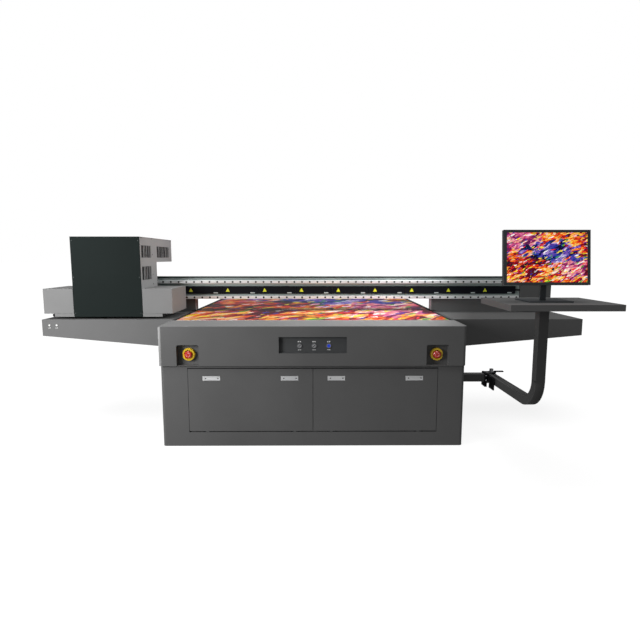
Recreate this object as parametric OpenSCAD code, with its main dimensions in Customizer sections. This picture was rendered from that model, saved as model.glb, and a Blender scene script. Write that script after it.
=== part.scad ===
// Flatbed UV printer with a moving gantry.
// Millimetres. X to the right, Y to the back, Z up. The origin is on the floor, at the centre
// of the table's plan. Depths along Y are given from the front face and placed by fy().

/* [Table] */
// Width of the table body
table_w = 2070; // [2066:1:2072]
// Length of the table body, front to back
table_l = 3700; // [3690:1:3720]
// Height of the bed border above the floor
table_h = 838; // [836:1:840]
// Height of the joint between cabinet and apron
apron_z = 567; // [562:1:570]
// Depth of the front ledge, from the front face to the bed
ledge_d = 313; // [308:1:316]
// Length of the vacuum bed
bed_l = 3072; // [3060:1:3074]
// Thickness of the board being printed
board_t = 3; // [1:0.5:4]

/* [Cabinet] */
// Setback of the cabinet's front behind the apron
cab_set = 17; // [15:1:20]
// Lower edge of the doorways
door_z0 = 99; // [97:1:110]
// Upper edge of the doorways
door_z1 = 547; // [540:1:550]
// Half of the width of the two doorways together
doorway_hw = 850; // [840:1:855]
// Height of the latch plates' centre line
latch_z = 478; // [470:1:485]

/* [Controls] */
// Width of the control recess
panel_w = 458; // [450:1:470]
// Distance between the panel buttons
button_pitch = 99; // [90:1:105]
// Distance from the middle to each emergency stop
estop_x = 842; // [836:1:846]
// Height of the emergency stops
estop_z = 641; // [638:1:646]

/* [Gantry] */
// Distance from the front face to the beam's front face
beam_y = 950; // [948:1:960]
// Lower edge of the beam
beam_z0 = 942; // [940:1:946]
// Upper edge of the beam
beam_z1 = 1130; // [1129:1:1140]
// Half of the beam's length
beam_hl = 1765; // [1760:1:1766]
// Distance from the middle to each wing's outer end
wing_x = 2050; // [2040:1:2060]
// Front face of the wings
wing_y0 = 444; // [440:1:450]
// Back face of the wings
wing_y1 = 1150; // [1145:1:1200]
// Upper face of the wings
wing_z1 = 828; // [826:1:829]

/* [Carriage] */
// Middle of the carriage at rest, left of the centre
car_x = -1560; // [-1565:1:-1555]
// Front face of the carriage
car_y = 478; // [476:1:480]
// Width of the front cover
cover_w = 520; // [516:1:521]
// Underside of the head base plate
head_z = 844; // [844:1:850]
// Top of the carriage
car_z1 = 1449; // [1446:1:1460]
// Half of the width across both lamp housings
lamp_hw = 488; // [486:1:492]
// Top of the lamp housings
lamp_z1 = 1058; // [1050:1:1060]

/* [Monitor arm] */
// Distance from the middle to the arm's pivot
pivot_x = 1318; // [1316:1:1325]
// Distance from the front face back to the arm's pivot
pivot_y = 300; // [295:1:310]
// Middle height of the arm tubes
arm_z = 415; // [410:1:420]
// Outer width of the square arm tube
tube_w = 56; // [50:1:58]
// Reach of the bent arm from its pivot
arm_reach = 720; // [710:1:730]
// Top of the monitor tray
tray_z1 = 1048; // [1044:1:1052]
// Tilt of the bent arm in plan, degrees
arm_yaw = 1.4; // [0:0.1:2]

/* [Hidden] */
$fn = 32;

front = -table_l / 2;
edge_x = table_w / 2;
bed_top = table_h - 2;
corner_r = 22;
sheet = 3;
gap = 1.5;             // seam between neighbouring sheets
ledge_x = [1031, 1014];
fit = 0.06;            // running clearance of a pin in its bore, on the radius
post_y = [170, 1290, 2410, 3530];
rail_x = 992;          // outer face of the side beams, which carries the rails
hinge_y = cab_set + 3.5;
hinge_z = door_z0 + 3.5;
door_cx = doorway_hw / 2;
latch_dx = 266;
latch_x = [-door_cx - latch_dx, -door_cx + latch_dx, door_cx - latch_dx, door_cx + latch_dx];
latch_w = 119;
latch_h = 31;
latch_t = 5;
latch_y = cab_set + 2.7;
panel_z = 709;
panel_h = 112;
button_x = [-90, -90 + button_pitch, -90 + 2 * button_pitch];
button_z = 702;
estop_depth = 45;
notch_w = 150;
notch_top = 711;
side_x = 1044;         // inner face of the gantry's side plates
wing_x0 = side_x + 21;
riser_x = 1012;        // inner face of the beam risers
riser_d = 90;
sheet_z0 = 1;          // lower edge of the cabinet's sheets above the floor
wing_out_h = 124;
wing_slope = 0.0911;
head_x = [-150, -50, 50, 150];
head_y = [600, 740];
lift_x = 90;
screw_y = 876;
bend_r = 150;
tray_x = [1040, 1645];
tray_y = [-700, -228];
mon_x = 1279;
mon_w = 472;
mon_h = [1139, 1439];  // lower and upper edge of the screen frame before it is tilted
mon_y = -565;
screen_hw = mon_w / 2 - 17;
neck_x = mon_x + 12;
tilt_rest = 7;
tilt_y = -523;
tilt_z = 1293;
hinge_x = [-door_cx - 300, -door_cx + 300, door_cx - 300, door_cx + 300];
bed_y0 = ledge_d + 1;
bed_y1 = bed_y0 + bed_l;
track_n = 11;
track_pitch = 314;
wing_button_x = [-1994, -1940];
wing_button_z = 785;
cap_post = [[car_x - 180, 570], [car_x + 180, 570], [car_x - 180, 830], [car_x + 180, 830]];
arm_top = arm_z + tube_w / 2;
arm_bot = arm_z - tube_w / 2;

// y of a plane that lies d behind the table's front face
function fy(d) = d + front;
// lower face of a wing at distance x from the middle
function wing_z0(x) = wing_z1 - wing_out_h - (wing_x - x) * wing_slope;

// box between two corners; its y values are depths behind the front face
module slab(x, y, z)
    translate([x[0], fy(y[0]), z[0]]) cube([x[1] - x[0], y[1] - y[0], z[1] - z[0]]);

module on_both_sides() {
    children();
    mirror([1, 0, 0]) children();
}

// upright, cross and lengthways round bars, at a depth behind the front face
module upright(x, y, z0, z1, r) translate([x, fy(y), z0]) cylinder(h = z1 - z0, r = r);
module crosswise(x0, x1, y, z, r) translate([x0, fy(y), z]) rotate([0, 90, 0]) cylinder(h = x1 - x0, r = r);
module lengthwise(x, y0, y1, z, r) translate([x, fy(y0), z]) rotate([-90, 0, 0]) cylinder(h = y1 - y0, r = r);

// plan outline with rounded corners, its front edge on the front face plus set
module plan(w, set, r) {
    l = table_l - 2 * set;
    square([w - 2 * r, l], center = true);
    square([w, l - 2 * r], center = true);
    for (sx = [-1, 1], sy = [-1, 1])
        translate([sx * (w / 2 - r), sy * (l / 2 - r)]) circle(r = r);
}

// U-shaped sheet that wraps the front with rounded corners
module front_wrap(w, set, depth, z0, z1)
    translate([0, 0, z0]) linear_extrude(z1 - z0) difference() {
        plan(w, set, corner_r);
        plan(w - 2 * sheet, set + sheet, corner_r - sheet);
        translate([-w, fy(set + depth)]) square([2 * w, 2 * table_l]);
    }

// ---- base frame -------------------------------------------------------------------------

module tube_y(x0, x1, z0, z1, wall) difference() {
    slab([x0, x1], [60, table_l - 60], [z0, z1]);
    slab([x0 + wall, x1 - wall], [59, table_l - 59], [z0 + wall, z1 - wall]);
}

module frame_long_tubes() color("dimgray") on_both_sides() {
    tube_y(902, 982, 40, 100, 5);
    tube_y(892, rail_x, 636, 796, 8);
}

module cross_tube(y, half, w, z0, z1) difference() {
    slab([-half, half], [y - w / 2, y + w / 2], [z0, z1]);
    slab([-half - 1, half + 1], [y - w / 2 + 5, y + w / 2 - 5], [z0 + 5, z1 - 5]);
}

module frame_posts() color("dimgray") {
    on_both_sides() for (y = post_y) difference() {
        slab([892, rail_x], [y - 50, y + 50], [100, 636]);
        slab([898, rail_x - 6], [y - 44, y + 44], [99, 637]);
    }
    for (y = [100, 330, 900, 1500, 2100, 2700, 3370, 3600]) cross_tube(y, 892, 80, 716, 796);
    for (y = post_y) cross_tube(y, 902, 60, 46, 96);
}

module levelling_feet() color("silver") on_both_sides() for (i = [0:3]) {
    corner = i == 0 || i == 3;
    union() {
        upright(942, post_y[i], 0, 22, 38);
        upright(942, post_y[i], 20, 40, 10);
        translate([942, fy(post_y[i]), 30]) cylinder(h = 10, r = 18, $fn = 6);
        if (corner) difference() {
            slab([852, 942], [post_y[i] - 38, post_y[i] + 38], [0, 10]);
            upright(882, post_y[i], -1, 11, 7);
        }
    }
}

// ---- cabinet ----------------------------------------------------------------------------

module cabinet_front() color([0.35, 0.35, 0.35]) {
    difference() {
        front_wrap(table_w - 2, cab_set, 60, sheet_z0, apron_z - 1);
        slab([-doorway_hw, doorway_hw], [cab_set - 1, cab_set + 4], [door_z0, door_z1]);
    }
    difference() {
        slab([-doorway_hw - 3, doorway_hw + 3], [cab_set + 2, cab_set + 20], [door_z0 - 3, door_z1 + 3]);
        slab([-doorway_hw, doorway_hw], [cab_set + 1, cab_set + 21], [door_z0, door_z1]);
    }
    slab([-25, 25], [cab_set + 19.5, cab_set + 22.5], [door_z0 - 3, door_z1 + 3]);
}

module louvres(x, y, z0, count, pitch)
    for (i = [0:count - 1]) slab(x, y, [z0 + i * pitch, z0 + i * pitch + 8]);

module cabinet_panels() color([0.33, 0.33, 0.33]) {
    on_both_sides() difference() {
        slab([edge_x - 4, edge_x - 1], [78, table_l - 24], [sheet_z0, apron_z - 1]);
        for (y = [700, 2700]) louvres([edge_x - 5, edge_x], [y, y + 260], 300, 8, 22);
    }
    difference() {
        slab([5 - edge_x, edge_x - 5], [table_l - 23, table_l - 20], [sheet_z0, apron_z - 1]);
        for (x = [-560, 420]) louvres([x, x + 260], [table_l - 24, table_l - 19], 330, 8, 22);
        lengthwise(0, table_l - 25, table_l - 18, 300, 41);
    }
    slab([-888, 888], [80, table_l - 100], [96, 99]);
}

// front sheet with the recess for the control panel and a pocket for each emergency stop
module estop_notch(x, y, grow) {
    hw = notch_w / 2 + grow;
    slab([x - hw, x + hw], y, [apron_z - 5, notch_top - 13]);
    slab([x - hw + 13, x + hw - 13], y, [apron_z - 5, notch_top + grow]);
    for (s = [-1, 1]) lengthwise(x + s * (hw - 13), y[0], y[1], notch_top + grow - 13, 13);
}

module front_apron() color([0.36, 0.36, 0.36]) {
    difference() {
        union() {
            front_wrap(table_w, 0, 120, apron_z, table_h - 4);
            slab([-1000, 1000], [2, cab_set - 0.5], [apron_z, apron_z + 2]);
            for (s = [-1, 1]) intersection() {
                estop_notch(s * estop_x, [2, estop_depth + 3], 2);
                slab([-1000, 1000], [0, 100], [apron_z, 800]);
            }
        }
        for (s = [-1, 1]) {
            estop_notch(s * estop_x, [-1, estop_depth], 0);
            lengthwise(s * estop_x, estop_depth - 1, estop_depth + 4, estop_z, 11.5);
        }
        panel_box(0, [-1, 4]);
    }
}

module panel_box(grow, y) {
    hw = panel_w / 2 + grow;
    hh = panel_h / 2 + grow;
    slab([-hw, hw], y, [panel_z - hh, panel_z + hh]);
}

module control_panel() color([0.2, 0.2, 0.2]) difference() {
    panel_box(3, [sheet, 27]);
    panel_box(-2, [2, 22]);
    for (x = button_x) lengthwise(x, 20, 28, button_z, 11.4);
}

module button_bezels() color("silver") for (x = button_x) difference() {
    lengthwise(x, 17, 22, button_z, 16);
    lengthwise(x, 16, 23, button_z, 11.4);
}

module panel_button(x, tone) color(tone) {
    lengthwise(x, 13.5, 32, button_z, 11);
    lengthwise(x, 31, 34, button_z, 13);
}

module button_1() panel_button(button_x[0], "silver");
module button_2() panel_button(button_x[1], "silver");
module button_3() panel_button(button_x[2], "blue");

// yellow collar around each emergency stop, open on its outer side
module estop_guards() color("gold") on_both_sides() difference() {
    union() {
        lengthwise(estop_x, 38, estop_depth, estop_z, 44);
        lengthwise(estop_x, 24, 39, estop_z, 41);
    }
    lengthwise(estop_x, 23, 38, estop_z, 31);
    lengthwise(estop_x, 22, estop_depth + 1, estop_z, 14);
    slab([estop_x + 20, estop_x + 50], [22, 34], [estop_z - 14, estop_z + 6]);
}

module mushroom(x) color("red") {
    lengthwise(x, 20, 62, estop_z, 11);
    lengthwise(x, 61, 65, estop_z, 14);
    lengthwise(x, 16, 30, estop_z, 25);
    translate([x, fy(12), estop_z]) rotate([-90, 0, 0]) cylinder(h = 4, r1 = 20, r2 = 25);
}

module left_estop() mushroom(-estop_x);
module right_estop() mushroom(estop_x);

// ---- doors ------------------------------------------------------------------------------

module door_hinges() color("silver") for (x = hinge_x) union() {
    for (s = [-1, 1]) translate([x + s * 20.3 - 9.7, fy(hinge_y), hinge_z])
        rotate([0, 90, 0]) cylinder(h = 19.4, r = 3);
    crosswise(x - 30, x + 30, hinge_y, hinge_z, 1.5);
    for (x0 = [x - 30, x + 10.6]) slab([x0, x0 + 19.4], [hinge_y, hinge_y + 5], [door_z0, door_z0 + 1.5]);
    slab([x - 30, x + 30], [hinge_y + 4, hinge_y + 15], [door_z0, door_z0 + 1.5]);
}

// door pan between x0 and x1 with two hinge knuckles and two latch cups
module door_pan(cx) {
    x0 = cx - door_cx + 1.5;
    x1 = cx + door_cx - 1.5;
    z0 = hinge_z + 4;
    z1 = door_z1 - 3;
    difference() {
        union() {
            difference() {
                slab([x0, x1], [cab_set, cab_set + 18], [z0, z1]);
                slab([x0 + 2, x1 - 2], [cab_set + sheet, cab_set + 19], [z0 + 3, z1 - 2]);
            }
            for (x = [cx - latch_dx, cx + latch_dx])
                slab([x - 63.5, x + 63.5], [cab_set + 1, cab_set + 16], [latch_z - 19.5, latch_z + 19.5]);
            for (d = [-300, 300]) {
                crosswise(cx + d - 10, cx + d + 10, hinge_y, hinge_z, 3);
                slab([cx + d - 10, cx + d + 10], [hinge_y, hinge_y + 3], [hinge_z, z0 + 1]);
            }
        }
        for (d = [-latch_dx, latch_dx]) {
            slab([cx + d - 61, cx + d + 61], [cab_set - 1, cab_set + 13], [latch_z - 17, latch_z + 17]);
            upright(cx + d - latch_w / 2 + 4, latch_y, latch_z - 19, latch_z + 19, 2 + fit);
        }
        for (d = [-300, 300]) crosswise(cx + d - 11, cx + d + 11, hinge_y, hinge_z, 1.5 + fit);
    }
}

module left_door() color([0.34, 0.34, 0.34]) door_pan(-door_cx);
module right_door() color([0.34, 0.34, 0.34]) door_pan(door_cx);

// flush latch plate with a trunnion near its left end and a finger dimple near its right end
module latch(x) color("lightgray") difference() {
    union() {
        slab([x - latch_w / 2, x + latch_w / 2], [latch_y - latch_t / 2, latch_y + latch_t / 2],
             [latch_z - latch_h / 2, latch_z + latch_h / 2]);
        upright(x - latch_w / 2 + 4, latch_y, latch_z - 18.5, latch_z + 18.5, 2);
    }
    lengthwise(x + latch_w / 2 - 14, latch_y - 4, latch_y - 1, latch_z, 7);
}

module latch_1() latch(latch_x[0]);
module latch_2() latch(latch_x[1]);
module latch_3() latch(latch_x[2]);
module latch_4() latch(latch_x[3]);

// ---- bed --------------------------------------------------------------------------------

module border_outline(points) translate([0, 0, table_h - 4]) linear_extrude(4) intersection() {
    plan(table_w, 0, corner_r);
    polygon([for (p = points) [p[0], fy(p[1])]]);
}

module bed_border() color([0.6, 0.6, 0.6]) {
    border_outline([[-ledge_x[0], 0], [ledge_x[0], 0], [ledge_x[1], ledge_d], [-ledge_x[1], ledge_d]]);
    slab([-960, 960], [ledge_d - 4, ledge_d - 1], [796, table_h - 4]);
    on_both_sides() {
        border_outline([[ledge_x[0] + gap, 0], [edge_x, 0], [edge_x, table_l], [ledge_x[0] + gap, table_l],
                        [ledge_x[1] + gap, bed_y1 + 1 - gap], [1000.5, bed_y1 + 1 - gap],
                        [1000.5, ledge_d + gap], [ledge_x[1] + gap, ledge_d + gap]]);
        slab([edge_x - 3, edge_x], [124, table_l - 124], [796, table_h - 3]);
        slab([970, edge_x], [124, table_l - 124], [796, 799]);
    }
    border_outline([[-ledge_x[0], table_l], [ledge_x[0], table_l],
                    [ledge_x[1], bed_y1 + 1], [-ledge_x[1], bed_y1 + 1]]);
    slab([-960, 960], [bed_y1 + 2, bed_y1 + 5], [796, table_h - 4]);
    slab([-1000, 1000], [table_l - 3, table_l], [apron_z, table_h - 3]);
}

module vacuum_bed() color("silver") difference() {
    slab([-999, 999], [bed_y0, bed_y1], [800, bed_top]);
    for (i = [0:1], j = [0:2]) {
        x = -990 + i * 995;
        y = bed_y0 + 10 + j * 1020;
        slab([x, x + 985], [y, y + 1010], [805, bed_top - 5]);
        upright(i == 0 ? -500 : 500, [600, 1800, 3000][j], 799, 806, 25);
    }
}

module printed_board() color("orange")
    slab([-998, 998], [ledge_d + 3, ledge_d + 2993], [bed_top, bed_top + board_t]);

module side_rails() color("gray") on_both_sides() {
    slab([rail_x, rail_x + 22], [70, table_l - 70], [690, 713]);
    slab([rail_x, rail_x + 8], [70, table_l - 70], [735, 785]);
}

module vacuum_blower() color("slategray") {
    translate([-130, fy(3150), 300]) rotate([0, 90, 0]) cylinder(h = 260, r = 170);
    slab([-160, 160], [3000, 3300], [99, 150]);
    difference() {
        union() {
            lengthwise(0, 3200, table_l - 17, 300, 36);
            lengthwise(0, table_l - 18, table_l + 50, 300, 38);
        }
        lengthwise(0, table_l - 80, table_l + 51, 300, 34);
    }
    upright(0, 3100, 300, 690, 38);
    lengthwise(0, 560, 3138, 660, 38);
    for (y = [600, 1800, 3000]) {
        crosswise(-530, 530, y, 660, 30);
        for (x = [-500, 500]) upright(x, y, 660, 800, 24);
    }
}

// ---- equipment inside the cabinet -------------------------------------------------------

module electrical_box() color("gainsboro") {
    difference() {
        slab([-800, -180], [160, 420], [99, 520]);
        slab([-797, -183], [163, 421], [102, 517]);
    }
    slab([-780, -200], [152, 161], [119, 500]);
    for (x = [-700, -600, -500]) slab([x, x + 60], [146, 153], [360, 460]);
}

module coolant_unit() color("steelblue") {
    difference() {
        slab([260, 560], [160, 620], [99, 500]);
        slab([263, 557], [163, 621], [102, 497]);
    }
    for (x = [330, 430]) upright(x, 560, 499, 530, 14);
    difference() {
        lengthwise(410, 150, 161, 300, 110);
        lengthwise(410, 149, 155, 300, 100);
    }
}

module ink_bottles() color("black") for (i = [0:2], j = [0:1]) {
    x = 640 + i * 90;
    y = 180 + j * 100;
    union() {
        upright(x, y, 99, 300, 38);
        upright(x, y, 299, 330, 18);
    }
}

module power_inlet() color("black") difference() {
    slab([-740, -660], [table_l - 20, table_l - 2], [250, 330]);
    slab([-722, -678], [table_l - 14, table_l - 1], [268, 312]);
}

// ---- gantry -----------------------------------------------------------------------------

module beam() color([0.5, 0.55, 0.54]) difference() {
    slab([-beam_hl, beam_hl], [beam_y, beam_y + 160], [beam_z0, beam_z1]);
    slab([-beam_hl - 1, beam_hl + 1], [beam_y + 8, beam_y + 152], [beam_z0 + 8, beam_z1 - 8]);
    slab([-beam_hl - 1, beam_hl + 1], [beam_y - 1, beam_y + 3], [beam_z1 - 20, beam_z1 - 16]);
}

module beam_rails() color("silver") for (z = [944, 1075])
    slab([-1755, 1755], [beam_y - 22, beam_y], [z, z + 25]);

module magnet_track() color([0.07, 0.07, 0.07]) for (i = [0:track_n - 1]) {
    x = (i - track_n / 2) * track_pitch;
    slab([x + 1, x + track_pitch - 1], [beam_y - 12, beam_y], [985, 1051]);
}

module gantry_sides() color([0.33, 0.34, 0.34]) on_both_sides() {
    slab([side_x, side_x + 20], [470, 1130], [640, wing_z1]);
    slab([side_x, beam_hl], [beam_y + 2, beam_y + riser_d], [wing_z1, table_h + 6]);
    difference() {
        slab([riser_x, beam_hl], [beam_y + 2, beam_y + riser_d], [table_h + 5, beam_z0]);
        slab([riser_x + 6, beam_hl + 1], [beam_y + 8, beam_y + riser_d - 6], [table_h + 11, beam_z0 - 6]);
    }
    slab([side_x + 2, beam_hl], [beam_y - 10, beam_y + 3], [wing_z1, wing_z1 + 4]);
}

module side_runners() color("dimgray") on_both_sides() {
    for (y = [560, 1000]) difference() {
        slab([995, side_x], [y, y + 100], [671, 732]);
        slab([990, rail_x + 22.5], [y - 1, y + 101], [689.5, 713.5]);
    }
    slab([1002, side_x], [680, 980], [738, 782]);
}

// tapered box of sheet metal; its lower face rises towards the outer end
module wing_prism(x0, x1, y0, y1, inset)
    translate([0, fy(y1), 0]) rotate([90, 0, 0]) linear_extrude(y1 - y0)
        polygon([[x0, wing_z0(x0) + inset], [x1, wing_z0(x1) + inset],
                 [x1, wing_z1 - inset], [x0, wing_z1 - inset]]);

module wing() difference() {
    wing_prism(wing_x0, wing_x, wing_y0, wing_y1, 0);
    wing_prism(wing_x0 + 4, wing_x - 4, wing_y0 + 4, wing_y1 - 4, 4);
}

module left_wing() color([0.5, 0.5, 0.5]) difference() {
    mirror([1, 0, 0]) wing();
    slab([car_x - 215, car_x + 215], [545, 855], [800, 840]);
    for (x = wing_button_x) lengthwise(x, wing_y0 - 1, wing_y0 + 5, wing_button_z, 7.4);
}

module right_wing() color([0.3, 0.3, 0.3]) wing();

module wing_button(x) color("white") {
    lengthwise(x, wing_y0 - 4, wing_y0 + 9, wing_button_z, 7);
    lengthwise(x, wing_y0 + 8, wing_y0 + 11, wing_button_z, 9);
}

module wing_button_1() wing_button(wing_button_x[0]);
module wing_button_2() wing_button(wing_button_x[1]);

module beam_end_boxes() color([0.25, 0.26, 0.26]) on_both_sides() difference() {
    slab([beam_hl + 3, 2030], [beam_y - 15, beam_y + 175], [wing_z1 + 4, 1150]);
    slab([beam_hl + 6, 2027], [beam_y - 12, beam_y + 176], [wing_z1 + 7, 1147]);
    slab([1928, 1931], [beam_y - 16, beam_y - 13.5], [wing_z1, 1160]);
}

module cap_station() color("gray") {
    slab([car_x - 220, car_x + 220], [wing_y0 + 4, wing_y1 - 4], [716, 724]);
    for (p = cap_post) upright(p[0], p[1], 723, 812, 8);
    upright(car_x, 700, 723, 755, 24);
}

module cap_tray() color([0.15, 0.15, 0.15]) {
    difference() {
        slab([car_x - 205, car_x + 205], [550, 850], [760, 768]);
        for (p = cap_post) upright(p[0], p[1], 759, 769, 8 + fit);
    }
    for (x = head_x, y = head_y) difference() {
        slab([car_x + x - 20, car_x + x + 20], [y - 53, y + 53], [767, 822]);
        slab([car_x + x - 17, car_x + x + 17], [y - 50, y + 50], [812, 823]);
    }
}

// ---- saddle, which rides on the beam and carries the lifting carriage --------------------

module saddle_plate() color("gray") {
    slab([car_x - 230, car_x + 230], [886, 904], [926, 1118]);
    for (s = [-1, 1]) {
        slab([car_x + s * 180 - 10, car_x + s * 180 + 10], [864, 887], [930, 1118]);
        difference() {
            slab([car_x + s * lift_x - 30, car_x + s * lift_x + 30], [856, 904], [1117, 1123]);
            upright(car_x + s * lift_x, screw_y, 1116, 1124, 8);
        }
    }
}

module beam_runners() color("dimgray") {
    for (s = [-1, 1], z = [944, 1075]) difference() {
        slab([car_x + s * 150 - 45, car_x + s * 150 + 45], [904, 945], [z - 18, z + 40]);
        slab([car_x + s * 150 - 46, car_x + s * 150 + 46], [beam_y - 22.5, 946], [z - 0.5, z + 25.5]);
    }
    slab([car_x - 150, car_x + 150], [904, 936], [996, 1043]);
}

module lift_motors() color("black") for (s = [-1, 1]) difference() {
    slab([car_x + s * lift_x - 21, car_x + s * lift_x + 21], [screw_y - 20.5, screw_y + 21.5], [1123, 1184]);
    upright(car_x + s * lift_x, screw_y, 1122, 1185, 4 + fit);
}

// ---- carriage ---------------------------------------------------------------------------

module carriage_back_plate() color("gray") {
    slab([car_x - 252, car_x + 252], [846, 854], [head_z + 25, 1256]);
    slab([car_x - 240, car_x + 240], [560, 847], [1040, 1046]);
    for (s = [-1, 1]) {
        difference() {
            slab([car_x + s * 180 - 30, car_x + s * 180 + 30], [853, 884], [936, 1016]);
            slab([car_x + s * 180 - 10.5, car_x + s * 180 + 10.5], [863.5, 885], [935, 1017]);
        }
        slab([car_x + s * lift_x - 15, car_x + s * lift_x + 15], [853, 884], [895, 910]);
        upright(car_x + s * lift_x, screw_y, 905, 1252, 4);
    }
}

module head_base_plate() color([0.55, 0.55, 0.55]) difference() {
    slab([car_x - 410, car_x + 410], [car_y + 4, 860], [head_z, head_z + 25]);
    for (x = head_x, y = head_y)
        slab([car_x + x - 17, car_x + x + 17], [y - 50, y + 50], [head_z - 1, head_z + 26]);
    for (s = [-1, 1])
        slab([car_x + s * 340 - 50, car_x + s * 340 + 50], [560, 800], [head_z - 1, head_z + 26]);
}

module print_heads() color([0.1, 0.1, 0.12]) for (x = head_x, y = head_y) union() {
    slab([car_x + x - 16, car_x + x + 16], [y - 49, y + 49], [head_z - 1, 960]);
    slab([car_x + x - 22, car_x + x + 22], [y - 58, y + 58], [head_z + 25, head_z + 33]);
}

module lamp_housings() color([0.58, 0.58, 0.58]) for (s = [-1, 1]) {
    x0 = s > 0 ? 262 : -lamp_hw;
    x1 = s > 0 ? lamp_hw : -262;
    difference() {
        slab([car_x + x0, car_x + x1], [car_y + 2, 876], [head_z + 25, lamp_z1]);
        slab([car_x + x0 + 3, car_x + x1 - 3], [car_y + 5, 873], [head_z + 24, lamp_z1 - 3]);
    }
}

module uv_lamps() color([0.1, 0.1, 0.1]) for (s = [-1, 1]) union() {
    slab([car_x + s * 340 - 48, car_x + s * 340 + 48], [562, 798], [852, 1000]);
    slab([car_x + s * 340 - 58, car_x + s * 340 + 58], [555, 805], [head_z + 25, head_z + 33]);
}

module carriage_front_cover() color([0.16, 0.19, 0.18])
    slab([car_x - cover_w / 2, car_x + cover_w / 2], [car_y, car_y + 4], [head_z, car_z1]);

module side_louvres(y0, y1, z0, z1, count) {
    pitch = (y1 - y0) / count;
    for (i = [0:count - 1]) slab([-9, 9], [y0 + i * pitch, y0 + i * pitch + pitch * 0.45], [z0, z1]);
}

module side_cover() difference() {
    union() {
        slab([252, 255], [car_y + 5, 872], [head_z + 26, car_z1 - 3]);
        slab([252, 255], [871, 1296], [1256, car_z1 - 3]);
    }
    translate([253, 0, 0]) {
        side_louvres(524, 752, 1291, 1387, 13);
        side_louvres(888, 1233, 1291, 1385, 18);
        side_louvres(526, 748, 1120, 1226, 13);
    }
}

module carriage_side_covers() color([0.57, 0.57, 0.57])
    translate([car_x, 0, 0]) on_both_sides() side_cover();

module carriage_top_cover() color([0.5, 0.5, 0.5]) {
    slab([car_x - 257, car_x + 257], [car_y + 5, 1300], [car_z1 - 3, car_z1]);
    slab([car_x - 255, car_x + 255], [1297, 1300], [1256, car_z1 - 2]);
    slab([car_x - 251, car_x + 251], [856, 1298], [1256, 1259]);
}

// ---- monitor arm ------------------------------------------------------------------------

module arm_bracket() color([0.15, 0.15, 0.15]) {
    hw = tube_w / 2;
    slab([edge_x - 1, edge_x + 7], [pivot_y - 60, pivot_y + 60], [arm_z - 65, arm_z + 65]);
    difference() {
        slab([edge_x + 6, pivot_x - 50], [pivot_y - hw, pivot_y + hw], [arm_bot, arm_top]);
        slab([edge_x + 5, pivot_x - 58], [pivot_y - hw + 4, pivot_y + hw - 4], [arm_bot + 4, arm_top - 4]);
    }
    slab([pivot_x - 58, pivot_x - 42], [pivot_y - 36, pivot_y + 36], [arm_bot - 10, arm_top + 10]);
    difference() {
        for (z = [arm_bot - 10, arm_top + 2]) {
            slab([pivot_x - 43, pivot_x], [pivot_y - 32, pivot_y + 32], [z, z + 8]);
            upright(pivot_x, pivot_y, z, z + 8, 32);
        }
        upright(pivot_x, pivot_y, arm_bot - 11, arm_top + 11, 8 + fit);
    }
}

module square_bar(h, wall) linear_extrude(h) difference() {
    square(tube_w, center = true);
    square(tube_w - 2 * wall, center = true);
}

// square tube: eye at the pivot, level run forward, bend, then upright to the tray
module bent_arm() color([0.3, 0.3, 0.3])
    translate([pivot_x, fy(pivot_y), arm_z]) rotate([0, 0, arm_yaw]) {
        difference() {
            union() {
                translate([0, 0, -tube_w / 2]) cylinder(h = tube_w, r = tube_w / 2);
                translate([-tube_w / 2, -46, -tube_w / 2]) cube([tube_w, 46, tube_w]);
            }
            translate([0, 0, -tube_w]) cylinder(h = 2 * tube_w, r = 8 + fit);
        }
        translate([0, -45, 0]) rotate([90, 0, 0]) square_bar(arm_reach - bend_r - 45, 4);
        translate([0, bend_r - arm_reach, bend_r]) rotate([0, 90, 0]) rotate([180, 0, 0])
            rotate_extrude(angle = 90, $fn = 64) translate([bend_r, 0]) difference() {
                square(tube_w, center = true);
                square(tube_w - 8, center = true);
            }
        translate([0, -arm_reach, bend_r]) square_bar(tray_z1 - 41 - arm_z - bend_r, 4);
        translate([-60, -arm_reach - 60, tray_z1 - 42 - arm_z]) cube([120, 120, 7]);
    }

module clamp_lever() color("silver") {
    upright(pivot_x, pivot_y, arm_bot - 20, arm_top + 24, 8);
    translate([pivot_x, fy(pivot_y), arm_bot - 20]) cylinder(h = 8, r = 13, $fn = 6);
    upright(pivot_x, pivot_y, arm_top + 11, arm_top + 15, 20);
    upright(pivot_x, pivot_y, arm_top + 15, arm_top + 34, 14);
    slab([pivot_x, pivot_x + 85], [pivot_y - 9, pivot_y + 9], [arm_top + 11, arm_top + 15]);
}

module tray() color([0.4, 0.4, 0.4]) difference() {
    slab(tray_x, tray_y, [tray_z1 - 35, tray_z1]);
    slab([tray_x[0] + 3, tray_x[1] - 3], [tray_y[0] + 3, tray_y[1] - 3], [tray_z1 - 32, tray_z1 - 3]);
}

module monitor_stand() color([0.2, 0.2, 0.2]) {
    slab([neck_x - 101, neck_x + 141], [mon_y - 15, mon_y + 190], [tray_z1, tray_z1 + 8]);
    slab([neck_x - 16, neck_x + 16], [tilt_y + 8, tilt_y + 18], [tray_z1 + 7, tilt_z + 4]);
    difference() {
        crosswise(neck_x - 20, neck_x + 20, tilt_y, tilt_z, 12);
        crosswise(neck_x - 21, neck_x + 21, tilt_y, tilt_z, 4 + fit);
    }
}

// turns the monitor back about its tilt axis, to the way it stands at rest
module tilted()
    translate([0, fy(tilt_y), tilt_z]) rotate([-tilt_rest, 0, 0]) translate([0, -fy(tilt_y), -tilt_z])
        children();

module screen_block(hw, y, inset)
    slab([mon_x - hw, mon_x + hw], y, [mon_h[0] + inset, mon_h[1] - inset]);

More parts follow.
